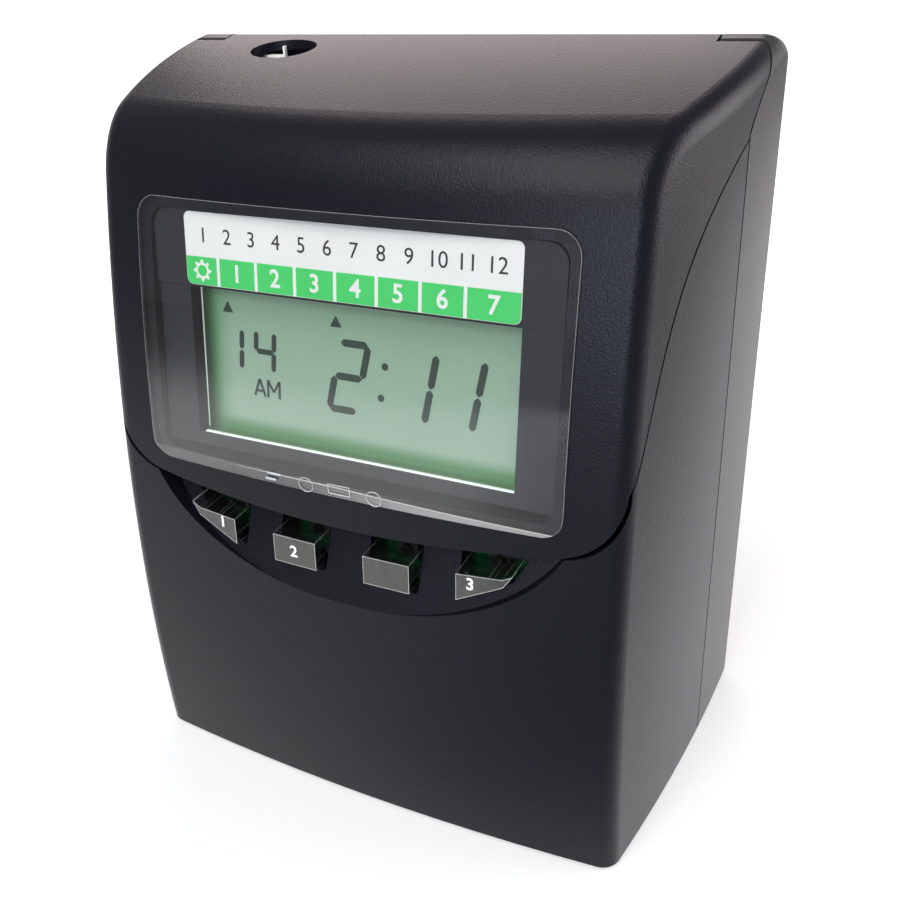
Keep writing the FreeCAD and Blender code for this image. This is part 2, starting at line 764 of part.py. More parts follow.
knob_x, knob_y = -36.0, 22.0
cassette = block(-56.0, 56.0, 11.0, 36.0, 136.0, 150.0)
cassette = cassette.makeFillet(3.0, [e for e in cassette.Edges if e.BoundBox.ZLength > 10.0])
cassette = cassette.fuse(both(block(50.0, 56.0, 33.0, 38.4, 120.0, 138.0)))
spindle_hole = bar_z(knob_x, knob_y, 142.0, 151.0, 2.5 + shaft_clearance)
save("ribbon_cassette", cassette.cut(spindle_hole))
knob = joined([
    bar_z(knob_x, knob_y, 150.3, 157.5, 8.0),
    bar_z(knob_x, knob_y, 142.5, 151.0, 2.5),
    block(knob_x - 7.5, knob_x + 7.5, knob_y - 1.0, knob_y + 1.0, 157.0, 160.0),
])
save("ribbon_knob", knob)

path = [(-50.0, 36.5), (-41.5, 41.4), (41.5, 41.4), (50.0, 36.5)]
ribbon_edge = path + [(x, y + 0.15) for x, y in reversed(path)]
ribbon_face = Part.Face(Part.makePolygon([V(x, y, 121.8) for x, y in ribbon_edge + ribbon_edge[:1]]))
save("ribbon", ribbon_face.extrude(V(0, 0, 10.4)))

# ---------------------------------------------------------------- card feed


def polar(y, z, radius, angle):
    return (y + radius * math.cos(angle), z + radius * math.sin(angle))


def involute_gear(y, z, teeth, phase, x0, x1):
    """Spur gear on an axis along X, with one tooth centred at angle phase."""
    pitch = gear_module * teeth / 2.0
    base = pitch * math.cos(pressure_angle)
    tip = pitch + gear_addendum * gear_module
    root = pitch - 1.25 * gear_module
    half = math.pi / (2.0 * teeth) - gear_backlash / (4.0 * pitch)
    spread = math.tan(pressure_angle) - pressure_angle

    def flank_angle(radius):
        a = math.acos(min(1.0, base / radius))
        return half + spread - (math.tan(a) - a)

    start = max(base, root)
    radii = [start + (tip - start) * i / 5.0 for i in range(6)]
    step = 2.0 * math.pi / teeth
    runs = []
    for tooth in range(teeth):
        centre = phase + tooth * step
        rise = [polar(y, z, r, centre - flank_angle(r)) for r in radii]
        fall = [polar(y, z, r, centre + flank_angle(r)) for r in reversed(radii)]
        foot = flank_angle(start)
        root_in = polar(y, z, root, centre - foot)
        root_out = polar(y, z, root, centre + foot)
        next_in = polar(y, z, root, centre + step - foot)
        runs.append([root_in, rise[0]])
        runs.append(rise)
        runs.append([rise[-1], polar(y, z, tip, centre), fall[0]])
        runs.append(fall)
        runs.append([fall[-1], root_out])
        runs.append([root_out, polar(y, z, root, centre + step / 2.0), next_in])
    return side_outline(runs, x0, x1)


to_pinion = math.atan2(feed_motor_z - feed_z, feed_motor_y - feed_y)
gear = involute_gear(feed_y, feed_z, gear_teeth, to_pinion, gear_x, gear_x + gear_width)
gear = gear.fuse(bar_x(gear_x + gear_width - 0.5, gear_x + gear_width + 1.0, feed_y, feed_z, 4.5))
save("feed_gear", gear.cut(bar_x(60, 80, feed_y, feed_z, feed_shaft_radius)))
pinion_phase = to_pinion + math.pi + math.pi / pinion_teeth
pinion = involute_gear(feed_motor_y, feed_motor_z, pinion_teeth, pinion_phase,
                       gear_x - 0.3, gear_x + gear_width + 0.3)
pinion = pinion.fuse(bar_x(46.0, gear_x + gear_width + 1.0, feed_motor_y, feed_motor_z, 1.5))
save("feed_pinion", pinion)

feed_motor = bar_x(41.0, frame_x, feed_motor_y, feed_motor_z, feed_motor_radius)
feed_motor = feed_motor.fuse(bar_x(frame_x - 0.5, frame_x + 2.0, feed_motor_y, feed_motor_z, 3.3))
save("feed_motor", feed_motor.cut(bar_x(45.0, 70.0, feed_motor_y, feed_motor_z, 1.55)))

feed_shaft = bar_x(-70.0, gear_x + gear_width + 1.0, feed_y, feed_z, feed_shaft_radius)
feed_shaft = feed_shaft.fuse(bar_x(-70.0, -68.9, feed_y, feed_z, 4.0))
save("feed_shaft", feed_shaft)
feed_bush = bar_x(frame_x, 68.4, feed_y, feed_z, 5.0)
feed_bush = feed_bush.cut(bar_x(60, 70, feed_y, feed_z, feed_shaft_radius + shaft_clearance))
save("feed_bushes", group([feed_bush, mirrored(feed_bush)]))
roller = bar_x(14.4, 33.6, feed_y, feed_z, roller_radius)
roller = roller.cut(bar_x(10, 40, feed_y, feed_z, feed_shaft_radius))
save("feed_rollers", group([roller, mirrored(roller)]))

# ---------------------------------------------------------------- hood lock

lock_bracket = joined([
    block(lock_x - 10.4, lock_x + 12.0, 17.0, guide_front_y, 178.0, 178.0 + sheet),
    block(lock_x - 10.4, lock_x + 12.0, guide_front_y - sheet, guide_front_y, 178.0, guide_top),
])
save("lock_bracket", lock_bracket.cut(bar_z(lock_x, lock_y, 170, 190, barrel_radius)))
barrel = bar_z(lock_x, lock_y, 168.0, 190.0, barrel_radius)
collar = bar_z(lock_x, lock_y, 178.0 + sheet, 181.0, 9.2)
collar = collar.common(block(-70, -30, 0, guide_front_y - sheet, 170, 190))
barrel = barrel.fuse(collar)
save("lock_barrel", barrel.cut(bar_z(lock_x, lock_y, 160, 200, plug_radius + shaft_clearance)))
hexagon = []
for corner in range(7):
    angle = math.radians(60.0 * corner + 30.0)
    hexagon.append(V(lock_x + 10.6 * math.cos(angle), lock_y + 10.6 * math.sin(angle), 174.0))
nut = Part.Face(Part.makePolygon(hexagon)).extrude(V(0, 0, 4.0))
save("lock_nut", nut.cut(bar_z(lock_x, lock_y, 170, 190, barrel_radius)))
plug = bar_z(lock_x, lock_y, cam_high, 190.4, plug_radius)
keyway = block(lock_x - 0.8, lock_x + 0.8, lock_y - 3.6, lock_y + 3.6, 180.0, 191.0)
save("lock_plug", plug.cut(keyway))
cam = joined([
    bar_z(lock_x, lock_y, cam_low, cam_high, 6.5),
    block(lock_x - 4.0, lock_x + 4.0, lock_y - cam_reach, lock_y, cam_low, cam_high),
])
save("lock_cam", cam)

# ---------------------------------------------------------------- power inlet and feet

inlet = joined([
    block(inlet_x - 4.8, inlet_x + 4.8, 32.0, wall_y, inlet_z - 5.0, inlet_z + 5.5),
    bar_y(inlet_x, wall_y - 0.5, half_depth - 0.4, inlet_z, 4.5),
])
inlet = inlet.cut(bar_y(inlet_x, 36.0, half_depth + 1.0, inlet_z, 3.1))
save("power_inlet", inlet.fuse(bar_y(inlet_x, 35.0, half_depth - 1.4, inlet_z, 1.0)))

foot_places = [(-62.0, -34.0), (62.0, -34.0), (-68.0, 36.0), (68.0, 36.0)]
save("rubber_feet", group([bar_z(x, y, 0.0, foot_height, 6.0) for x, y in foot_places]))
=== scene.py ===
import math
import bpy
from mathutils import Matrix, Vector


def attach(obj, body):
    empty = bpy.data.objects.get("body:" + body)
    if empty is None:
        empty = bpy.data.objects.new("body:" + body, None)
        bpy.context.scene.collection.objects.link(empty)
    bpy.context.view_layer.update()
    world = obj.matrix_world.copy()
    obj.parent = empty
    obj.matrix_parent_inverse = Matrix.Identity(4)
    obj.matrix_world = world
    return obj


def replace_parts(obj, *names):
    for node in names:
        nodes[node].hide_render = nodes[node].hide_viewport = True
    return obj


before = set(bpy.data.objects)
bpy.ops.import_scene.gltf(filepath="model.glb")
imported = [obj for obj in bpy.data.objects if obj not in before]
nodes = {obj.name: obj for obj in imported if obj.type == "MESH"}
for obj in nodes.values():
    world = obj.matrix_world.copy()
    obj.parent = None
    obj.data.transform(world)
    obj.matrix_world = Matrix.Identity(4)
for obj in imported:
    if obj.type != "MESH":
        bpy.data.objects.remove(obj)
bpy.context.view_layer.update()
bpy.ops.object.select_all(action="DESELECT")


# Sheet-metal chassis: side frames, card guides, drive plate, cassette tray, brackets.
# Zinc-plated steel, bent from flat sheet, with a soft grey spangle and faint rolling lines.
def give(tree, socket, value):
    """Gives an input a plain value, or another node's output."""
    if isinstance(value, bpy.types.NodeSocket):
        tree.links.new(value, socket)
    else:
        socket.default_value = value


def place_on_piece(tree):
    """Where a point lies in the piece's own axes."""
    return tree.nodes.new("ShaderNodeTexCoord").outputs["Object"]


def mottle(tree, place, scale, detail=2.0):
    """Strength of a mottled pattern, finer with a larger scale."""
    pattern = tree.nodes.new("ShaderNodeTexNoise")
    pattern.inputs["Scale"].default_value = scale
    pattern.inputs["Detail"].default_value = detail
    tree.links.new(place, pattern.inputs["Vector"])
    return pattern.outputs["Fac"]


def graded(tree, value, start, end, low=0.0, high=1.0, smooth=False):
    """Runs from low to high as a value runs from start to end, and is level beyond them."""
    mapped = tree.nodes.new("ShaderNodeMapRange")
    if smooth:
        mapped.interpolation_type = "SMOOTHSTEP"
    for socket, setting in (("Value", value), ("From Min", start), ("From Max", end),
                            ("To Min", low), ("To Max", high)):
        give(tree, mapped.inputs[socket], setting)
    return mapped.outputs["Result"]


def mix_colours(tree, share, first, second, way="MIX"):
    """The first colour, with a share of the second in it."""
    blended = tree.nodes.new("ShaderNodeMix")
    blended.data_type = "RGBA"
    blended.blend_type = way
    for socket, setting in (("Factor", share), ("A", first), ("B", second)):
        give(tree, blended.inputs[socket], setting)
    return blended.outputs["Result"]


def relief(tree, height, strength, depth, over=None):
    """The way a textured surface faces, laid over a smoother form if one is given."""
    texture = tree.nodes.new("ShaderNodeBump")
    texture.inputs["Strength"].default_value = strength
    texture.inputs["Distance"].default_value = depth
    tree.links.new(height, texture.inputs["Height"])
    if over:
        tree.links.new(over, texture.inputs["Normal"])
    return texture.outputs["Normal"]


def metal(name, colour, roughness, scale, depth, stretch=(1.0, 1.0, 1.0)):
    """Metal with a fine directional grain in its gloss and a slight colour drift."""
    made = bpy.data.materials.new(name)
    made.use_nodes = True
    tree = made.node_tree
    shader = tree.nodes["Principled BSDF"]
    shader.inputs["Metallic"].default_value = 1.0
    mapping = tree.nodes.new("ShaderNodeMapping")
    mapping.inputs["Scale"].default_value = stretch
    tree.links.new(place_on_piece(tree), mapping.inputs["Vector"])
    grain_detail, grain_strength = 4.0, 0.3
    smoothest, roughest, dullest = 0.8, 1.25, 0.86
    grain = mottle(tree, mapping.outputs["Vector"], scale, grain_detail)
    gloss = graded(tree, grain, 0.0, 1.0, roughness * smoothest, roughness * roughest)
    dull = (*[c * dullest for c in colour], 1.0)
    tree.links.new(gloss, shader.inputs["Roughness"])
    tree.links.new(mix_colours(tree, grain, dull, (*colour, 1.0)), shader.inputs["Base Color"])
    tree.links.new(relief(tree, grain, grain_strength, depth), shader.inputs["Normal"])
    return made


def dress(material, *names):
    """Gives CAD pieces their finish."""
    for name in names:
        nodes[name].data.materials.clear()
        nodes[name].data.materials.append(material)


zinc_sheet = metal("zinc_sheet", (0.60, 0.61, 0.62), 0.38, 260.0, 0.00004)
dress(zinc_sheet, "side_frame_left", "side_frame_right", "card_guide_front", "card_guide_rear",
      "drive_plate", "cassette_tray", "lock_bracket", "display_bracket")


# Ground steel rods and shafts, sintered bushes, leaf springs and motor cans.
# Drawn or ground round, so their grain runs along X.
ground_steel = metal("ground_steel", (0.70, 0.70, 0.71), 0.22, 600.0, 0.00002, (0.05, 1.0, 1.0))
dress(ground_steel, "main_rod", "steady_rod", "feed_shaft", "idler_pin", "card_pressure_spring")
motor_can = metal("motor_can", (0.52, 0.52, 0.53), 0.35, 300.0, 0.00003)
dress(motor_can, "carriage_motor", "feed_motor")
sintered_bronze = metal("sintered_bronze", (0.55, 0.38, 0.20), 0.45, 900.0, 0.00003)
dress(sintered_bronze, "carriage_bushes", "feed_bushes")
cast_aluminium = metal("cast_aluminium", (0.48, 0.49, 0.50), 0.5, 700.0, 0.00006)
dress(cast_aluminium, "print_head")


# Moulded plastic parts of the mechanism: white acetal gears and pulleys, dark carriage.
# Injection moulded, so they keep a faint orange-peel in their gloss.
def moulding(name, colour, roughness, scale, depth, strength=0.5, drift=0.12,
             specular=0.5, edge=0.0):
    """Moulded plastic or rubber with a fine textured skin, and rounded edges if asked."""
    made = bpy.data.materials.new(name)
    made.use_nodes = True
    tree = made.node_tree
    shader = tree.nodes["Principled BSDF"]
    shader.inputs["Specular IOR Level"].default_value = specular
    cloud_scale, gloss_spread = 35.0, 0.05
    skin = mottle(tree, place_on_piece(tree), scale, 3.0)
    cloud = mottle(tree, place_on_piece(tree), cloud_scale, 4.0)
    dark = (*[c * (1.0 - drift) for c in colour], 1.0)
    pale = (*[min(1.0, c * (1.0 + drift)) for c in colour], 1.0)
    gloss = graded(tree, skin, 0.0, 1.0, roughness - gloss_spread, roughness + gloss_spread)
    rounded = None
    if edge:
        corner = tree.nodes.new("ShaderNodeBevel")
        corner.inputs["Radius"].default_value = edge
        rounded = corner.outputs["Normal"]
    tree.links.new(mix_colours(tree, cloud, dark, pale), shader.inputs["Base Color"])
    tree.links.new(gloss, shader.inputs["Roughness"])
    tree.links.new(relief(tree, skin, strength, depth, rounded), shader.inputs["Normal"])
    return made


white_acetal = moulding("white_acetal", (0.78, 0.78, 0.74), 0.35, 500.0, 0.00003)
dress(white_acetal, "feed_gear", "feed_pinion", "drive_pulley", "idler_pulley", "ribbon_knob",
      "card_stop")
black_nylon = moulding("black_nylon", (0.02, 0.02, 0.022), 0.45, 900.0, 0.00004)
dress(black_nylon, "print_carriage", "ribbon_cassette", "key_switches", "power_inlet", "buzzer",
      "plunger_in", "plunger_out", "plunger_blank", "plunger_enter")
black_rubber = moulding("black_rubber", (0.018, 0.018, 0.018), 0.7, 1200.0, 0.00008)
dress(black_rubber, "rubber_feet", "feed_rollers", "platen", "drive_belt")
inked_ribbon = moulding("inked_ribbon", (0.012, 0.010, 0.025), 0.8, 3000.0, 0.0001)
dress(inked_ribbon, "ribbon")


# Circuit boards: green solder mask over glass fibre, with their parts.
# The boards are cut flat; chips are black epoxy, the battery is in blue shrink film.
solder_mask = moulding("solder_mask", (0.012, 0.09, 0.035), 0.25, 400.0, 0.00003)
dress(solder_mask, "main_board", "button_board")
black_epoxy = moulding("black_epoxy", (0.015, 0.015, 0.015), 0.5, 900.0, 0.00004)
dress(black_epoxy, "board_chips")
blue_film = moulding("blue_film", (0.02, 0.06, 0.30), 0.2, 200.0, 0.00005)
dress(blue_film, "backup_battery")


# Hood lock: nickel-plated barrel and cam on a brass plug, seen down the access hole.
# Turned parts with a polished face.
nickel_plate = metal("nickel_plate", (0.80, 0.79, 0.77), 0.15, 300.0, 0.00001)
dress(nickel_plate, "lock_barrel", "lock_nut", "lock_cam")
turned_brass = metal("turned_brass", (0.72, 0.60, 0.36), 0.22, 500.0, 0.00001)
dress(turned_brass, "lock_plug")


# Display bezel: satin dark plastic frame behind the window, a touch paler than the casing.
# Moulded in one piece with the pocket that holds the glass.
bezel_skin = moulding("bezel_skin", (0.012, 0.011, 0.015), 0.5, 3200.0, 0.00001, 0.12, specular=0.3)
dress(bezel_skin, "display_bezel")
white_diffuser = moulding("white_diffuser", (0.8, 0.84, 0.78), 0.5, 300.0, 0.00002)
dress(white_diffuser, "lcd_backlight")


# Display glass: reflective grey-green liquid crystal, with painted shade that darkens it where its
# border shades it.
# The cell sits at the back of the bezel's pocket, and leans back as the hood's front does.
millimetre = 0.001
lean = math.radians(-10.8)
display_plane = Matrix.Translation((0.0, -0.0257, 0.158)) @ Matrix.Rotation(lean, 4, "X")


def settle(piece, name, body):
    """Fixes a finished piece's place into its mesh, names it and hangs it on its body."""
    bpy.ops.object.select_all(action="DESELECT")
    piece.select_set(True)
    bpy.context.view_layer.objects.active = piece
    bpy.ops.object.transform_apply(location=True, rotation=True, scale=True)
    piece.name = name
    piece.data.name = name
    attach(piece, body)
    bpy.ops.object.select_all(action="DESELECT")


def on_display(piece, name, material, plane=display_plane, body="case"):
    """Moves a piece drawn in millimetres on a plane to its place, and finishes it."""
    piece.matrix_world = plane @ Matrix.Scale(millimetre, 4) @ piece.matrix_world
    bpy.context.view_layer.update()
    settle(piece, name, body)
    piece.data.materials.clear()
    piece.data.materials.append(material)
    return piece


def join(pieces):
    """Joins several pieces into the first."""
    bpy.ops.object.select_all(action="DESELECT")
    for piece in pieces:
        piece.select_set(True)
    bpy.context.view_layer.objects.active = pieces[0]
    bpy.ops.object.join()
    return bpy.context.view_layer.objects.active


def plate(x, y, z, wide, thick, high, corner, turn=0.0, only=None):
    """A flat bar; the corners of its outline, or only one of them, are cut or rounded."""
    bpy.ops.mesh.primitive_cube_add(size=1.0, location=(0.0, 0.0, 0.0), scale=(wide, thick, high))
    bar = bpy.context.active_object
    bpy.ops.object.transform_apply(location=False, rotation=False, scale=True)
    if corner:
        bpy.ops.object.mode_set(mode="EDIT")
        bpy.ops.mesh.select_all(action="DESELECT")
        bpy.ops.object.mode_set(mode="OBJECT")
        for edge in bar.data.edges:
            a, b = (bar.data.vertices[i].co for i in edge.vertices)
            chosen = only is None or (a.x * only[0] > 0.0 and a.z * only[1] > 0.0)
            edge.select = chosen and abs(a.y - b.y) > 0.5 * thick
        bpy.ops.object.mode_set(mode="EDIT")
        bpy.ops.mesh.select_mode(type="EDGE")
        bpy.ops.mesh.bevel(offset=corner[0], segments=corner[1], affect="EDGES")
        bpy.ops.object.mode_set(mode="OBJECT")
    bar.location = (x, y, z)
    bar.rotation_euler = (0.0, turn, 0.0)
    bpy.ops.object.transform_apply(location=True, rotation=True, scale=True)
    return bar


def place_along(tree, letter):
    """Where a point lies along one of the piece's own axes, in metres."""
    split = tree.nodes.new("ShaderNodeSeparateXYZ")
    tree.links.new(place_on_piece(tree), split.inputs["Vector"])
    return split.outputs[letter]


def reckon(tree, operation, *terms):
    """One step of arithmetic on numbers and outputs."""
    sum_of = tree.nodes.new("ShaderNodeMath")
    sum_of.operation = operation
    for socket, term in zip(sum_of.inputs, terms):
        give(tree, socket, term)
    return sum_of.outputs["Value"]


glass_face = 5.0
lcd_glass = bpy.data.materials.new("lcd_glass")
lcd_glass.use_nodes = True
tree = lcd_glass.node_tree
shader = tree.nodes["Principled BSDF"]
shader.inputs["Roughness"].default_value = 0.3
across, up = place_along(tree, "X"), place_along(tree, "Z")
# Painted shade: the glass runs from a dark shaded green at its left edge, foot and top to a lit
# pale green in the middle.
left_painted_shade = graded(tree, across, -0.0464, -0.036, smooth=True)
foot_painted_shade = graded(tree, up, 0.1112, 0.1152, smooth=True)
head_painted_shade = graded(tree, up, 0.150, 0.128, 0.72, 1.0, smooth=True)
pale = reckon(tree, "MULTIPLY", reckon(tree, "MULTIPLY", left_painted_shade, foot_painted_shade), head_painted_shade)
green = mix_colours(tree, pale, (0.065, 0.20, 0.07, 1.0), (0.26, 0.36, 0.27, 1.0))
grainy = mix_colours(tree, 0.10, green, mottle(tree, place_on_piece(tree), 3600.0), "MULTIPLY")
# More painted shade: a near-black green along the very left edge.
border_painted_shade = graded(tree, across, -0.0466, -0.0405, smooth=True)
tree.links.new(mix_colours(tree, border_painted_shade, (0.012, 0.03, 0.014, 1.0), grainy),
               shader.inputs["Base Color"])
dress(lcd_glass, "lcd_panel")
# Thin pale strips with a faint glow along the glass's foot and left edge: painted highlights.
edge_glint_paint = moulding("edge_glint_paint", (0.85, 0.90, 0.86), 0.25, 900.0, 0.00001, 0.2, 0.05)
shader = edge_glint_paint.node_tree.nodes["Principled BSDF"]
shader.inputs["Emission Color"].default_value = (0.85, 1.0, 0.88, 1.0)
shader.inputs["Emission Strength"].default_value = 0.3
# A strip in the glass's dark shaded green along its foot: painted shade.
lower = plate(0.0, 3.55, -48.28, 92.7, 2.9, 0.2, (0.1, 1))
on_display(lower, "lcd_foot_painted_shade", lcd_glass)
glint_lines = [plate(0.85, 1.4, -48.2, 91.0, 0.9, 0.34, (0.08, 1)),
        plate(-46.32, 4.75, -28.3, 0.1, 0.4, 39.6, (0.03, 1))]
on_display(join(glint_lines), "lcd_glass_edges", edge_glint_paint)


# Display segments: date, day marks and the time, dark cells just above the glass.
# Thin hexagonal bars; upright ones lean like the real digits.
segment_ink = moulding("segment_ink", (0.014, 0.028, 0.018), 0.4, 900.0, 0.00001, 0.2, 0.05)
ink_y = glass_face - 0.06
ink_thick = 0.04


def digit(x, top, wide, high, stroke, slant, lit):
    """One seven-segment figure; x is the middle of its top bar."""
    drift = math.tan(slant)
    half = high / 2.0
    gap = 0.35
    pointed = (stroke * 0.42, 1)
    bars = []
    for letter in lit:
        if letter in "agd":
            drop = {"a": 0.0, "g": half, "d": high}[letter]
            bars.append(plate(x - drift * drop, ink_y, top - drop, wide - gap, ink_thick, stroke,
                              pointed))
        else:
            side = 1.0 if letter in "bc" else -1.0
            drop = half * (0.5 if letter in "bf" else 1.5)
            bars.append(plate(x + side * wide / 2.0 - drift * drop, ink_y, top - drop, stroke,
                              ink_thick, half / math.cos(slant) - gap, pointed, slant))
    return bars


segments = []
segments += digit(-34.0, -19.6, 0.0, 10.6, 1.45, math.radians(3.0), "bc")
segments += digit(-26.6, -19.4, 5.6, 10.6, 1.45, math.radians(3.0), "fgbc")
segments += digit(0.3, -19.1, 8.0, 17.6, 1.9, math.radians(11.5), "abged")
segments += digit(23.2, -18.9, 0.0, 17.6, 1.9, math.radians(10.0), "bc")
segments += digit(36.0, -18.9, 0.0, 17.6, 1.9, math.radians(10.0), "bc")
upright = (math.pi / 2.0, 0.0, 0.0)
colon_dots = [(9.0, -23.7, 24, 0.95), (7.9, -31.9, 24, 0.95)]
day_marks = [(-38.2, -14.4, 3, 2.0), (-5.0, -14.4, 3, 2.0)]
for x, z, corners, radius in colon_dots + day_marks:
    bpy.ops.mesh.primitive_cylinder_add(vertices=corners, radius=radius, depth=ink_thick,
                                        location=(x, ink_y, z), rotation=upright)
    segments.append(bpy.context.active_object)
on_display(join(segments), "lcd_segments", segment_ink)


def lettering(words, x, z, size, y, weight):
    """A printed figure as a flat shape, centred at (x, z) in its plane."""
    bpy.ops.object.text_add(location=(0.0, 0.0, 0.0))
    text = bpy.context.active_object
    text.data.body = words
    text.data.size = size
    text.data.offset = weight
    text.data.align_x = "CENTER"
    text.data.align_y = "CENTER"
    text.data.extrude = 0.02
    text.rotation_euler = upright
    text.location = (x, y, z)
    bpy.ops.object.convert(target="MESH")
    return bpy.context.active_object


letters = []
for x, z, wide, high, turn in ((-29.75, -34.6, 0.72, 5.0, 19.5), (-28.05, -34.6, 0.72, 5.0, -19.5),
                               (-28.9, -35.5, 2.2, 0.65, 0.0), (-26.3, -34.6, 0.72, 4.8, 0.0),
                               (-22.7, -34.6, 0.72, 4.8, 0.0), (-25.4, -33.8, 0.66, 3.6, -29.0),
                               (-23.6, -33.8, 0.66, 3.6, 29.0)):
    letters.append(plate(x, ink_y, z, wide, ink_thick, high, (0.12, 1), math.radians(turn)))
on_display(join(letters), "lcd_half_day", segment_ink)


# Legend strip above the glass: glossy white film with a green row of day cells.
# Screen-printed with plain numerals for days and hours; it replaces the bare strip.
white_film = moulding("white_film", (0.72, 0.69, 0.665), 0.3, 200.0, 0.00001, 0.2, 0.03)
strip = plate(0.0, -0.15, 1.4, 92.8, 0.3, 18.4, (1.7, 6))
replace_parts(on_display(strip, "legend_film", white_film), "legend_strip")
green_ink = moulding("green_ink", (0.045, 0.50, 0.11), 0.35, 1200.0, 0.00001, 0.3, 0.06)
legend_face = -0.32
over_print = legend_face - 0.03
cell_edges = [-46.3, -35.9, -24.35, -12.85, -1.35, 10.1, 21.65, 33.15, 47.2]
cell_gap, cell_row, cell_high = 0.95, -4.15, 7.1
cells = []
for left, right in zip(cell_edges, cell_edges[1:]):
    wide = right - left - cell_gap
    side = {cell_edges[0]: -1.0, cell_edges[-2]: 1.0}.get(left)
    cells.append(plate(left + wide / 2.0, legend_face, cell_row, wide, ink_thick, cell_high,
                       (1.6, 6) if side else None, only=(side, -1.0) if side else None))
on_display(join(cells), "legend_cells", green_ink)
numeral_row, numeral_size, numeral_weight = -4.2, 6.2, 0.12
numerals = []
for count, (left, right) in enumerate(zip(cell_edges[1:], cell_edges[2:])):
    middle = (left + right) / 2.0 - 0.5
    numerals.append(lettering(str(count + 1), middle, numeral_row, numeral_size, over_print,
                              numeral_weight))
sun_x, sun_z, ray_circle = -41.4, -4.1, 2.35
bpy.ops.mesh.primitive_torus_add(major_segments=32, minor_segments=4,
                                 major_radius=1.75, minor_radius=0.32)
ring = bpy.context.active_object
ring.scale = (1.0, 1.0, 0.08)
ring.rotation_euler = upright
ring.location = (sun_x, over_print, sun_z)
bpy.ops.object.transform_apply(location=True, rotation=True, scale=True)
numerals.append(ring)
for step in range(8):
    angle = step * math.pi / 4.0
    numerals.append(plate(sun_x + ray_circle * math.cos(angle), over_print,
                          sun_z + ray_circle * math.sin(angle), 0.8, ink_thick, 0.8, None,
                          math.pi / 4.0 - angle))
on_display(join(numerals), "legend_numerals", white_film)
black_ink = moulding("black_ink", (0.012, 0.012, 0.016), 0.4, 1200.0, 0.00001, 0.3, 0.06)
first_hour, hour_pitch, hour_row, hour_size = -40.6, 7.35, 4.7, 5.4
hours = [lettering(str(hour + 1), first_hour + hour_pitch * hour, hour_row, hour_size,
                   legend_face, 0.0) for hour in range(12)]
on_display(join(hours), "legend_hours", black_ink)


# Key caps: hollow, clear smoked plastic, seen as grey glass over a dark hollow.
# Injection moulded and polished; the front is misted from behind, the sides stay clear, and a
# painted highlight lightens the front's edges.
def clear_plastic(name, tint, polish):
    """Clear moulding: light goes straight through it, and its outer skin has a gloss."""
    made = bpy.data.materials.new(name)
    made.use_nodes = True
    tree = made.node_tree
    tree.nodes.remove(tree.nodes["Principled BSDF"])
    flow = mottle(tree, place_on_piece(tree), 60.0)
    through = tree.nodes.new("ShaderNodeBsdfTransparent")
    cast = mix_colours(tree, flow, (*[c * 0.97 for c in tint], 1.0), (*tint, 1.0))
    tree.links.new(cast, through.inputs["Color"])
    shine = tree.nodes.new("ShaderNodeBsdfGlossy")
    wear = graded(tree, flow, 0.0, 1.0, polish * 0.8, polish * 1.4)
    tree.links.new(wear, shine.inputs["Roughness"])
    tree.links.new(relief(tree, flow, 0.1, 0.00003), shine.inputs["Normal"])
    fresnel = tree.nodes.new("ShaderNodeFresnel")
    fresnel.inputs["IOR"].default_value = 1.49
    facing = tree.nodes.new("ShaderNodeNewGeometry")
    outside = reckon(tree, "SUBTRACT", 1.0, facing.outputs["Backfacing"])
    two_faces = 1.8
    outer_gloss = reckon(tree, "MULTIPLY", outside, two_faces)
    gloss = reckon(tree, "MULTIPLY", fresnel.outputs["Fac"], outer_gloss)
    body = tree.nodes.new("ShaderNodeMixShader")
    tree.links.new(reckon(tree, "MINIMUM", gloss, 1.0), body.inputs["Fac"])
    tree.links.new(through.outputs["BSDF"], body.inputs[1])
    tree.links.new(shine.outputs["BSDF"], body.inputs[2])
    tree.links.new(body.outputs["Shader"], tree.nodes["Material Output"].inputs["Surface"])
    return made


def frost_and_highlight_layer(material, colour, share):
    """Lays a pale diffuse layer over a clear moulding's outer skin, as strong as share says; it
    serves for frosted mist and for painted highlights and reflections.
    """
    tree = material.node_tree
    surface = tree.nodes["Material Output"].inputs["Surface"]
    frost = tree.nodes.new("ShaderNodeBsdfDiffuse")
    frost.inputs["Color"].default_value = (*colour, 1.0)
    side = tree.nodes.new("ShaderNodeNewGeometry")
    layers = tree.nodes.new("ShaderNodeMixShader")
    outer = graded(tree, side.outputs["Backfacing"], 0.0, 1.0, share, 0.0)
    tree.links.new(outer, layers.inputs["Fac"])
    tree.links.new(surface.links[0].from_socket, layers.inputs[1])
    tree.links.new(frost.outputs["BSDF"], layers.inputs[2])
    tree.links.new(layers.outputs["Shader"], surface)


def edge_mask(tree, radius, level):
    """Reads level along the piece's sharp edges and 0 on its flats."""
    rounded = tree.nodes.new("ShaderNodeBevel")
    rounded.inputs["Radius"].default_value = radius
    flat = tree.nodes.new("ShaderNodeNewGeometry")
    turned = tree.nodes.new("ShaderNodeVectorMath")
    turned.operation = "DOT_PRODUCT"
    tree.links.new(rounded.outputs["Normal"], turned.inputs[0])
    tree.links.new(flat.outputs["True Normal"], turned.inputs[1])
    agreement = reckon(tree, "ABSOLUTE", turned.outputs["Value"])
    on_flat, on_edge = 0.99, 0.90
    return graded(tree, agreement, on_flat, on_edge, 0.0, level)


